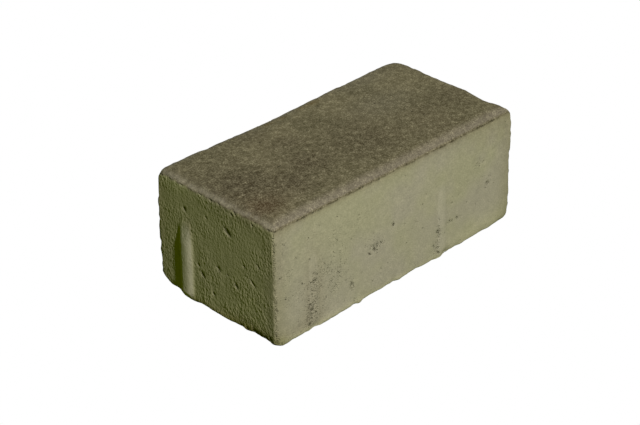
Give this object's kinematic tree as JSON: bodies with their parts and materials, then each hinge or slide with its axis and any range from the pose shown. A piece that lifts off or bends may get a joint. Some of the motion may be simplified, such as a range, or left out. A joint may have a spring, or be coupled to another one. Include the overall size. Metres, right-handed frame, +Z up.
{
  "type": "concrete paving stone",
  "caption": "Rectangular concrete paving stone with a bevelled wearing face, drafted sides and half-round spacer nibs, laid on a sand bed to pave a path or yard.",
  "frame": {"origin": "middle of the bed face, on the ground", "axes": "+X along the stone, +Y across it, +Z up to the wearing face"},
  "size_m": [0.2042, 0.1008, 0.079],
  "materials": {
    "pressed_concrete": "matt, fine-grained pressed concrete"
  },
  "bodies": {
    "root": {"paving_stone": "pressed_concrete"}
  },
  "joints": []
}
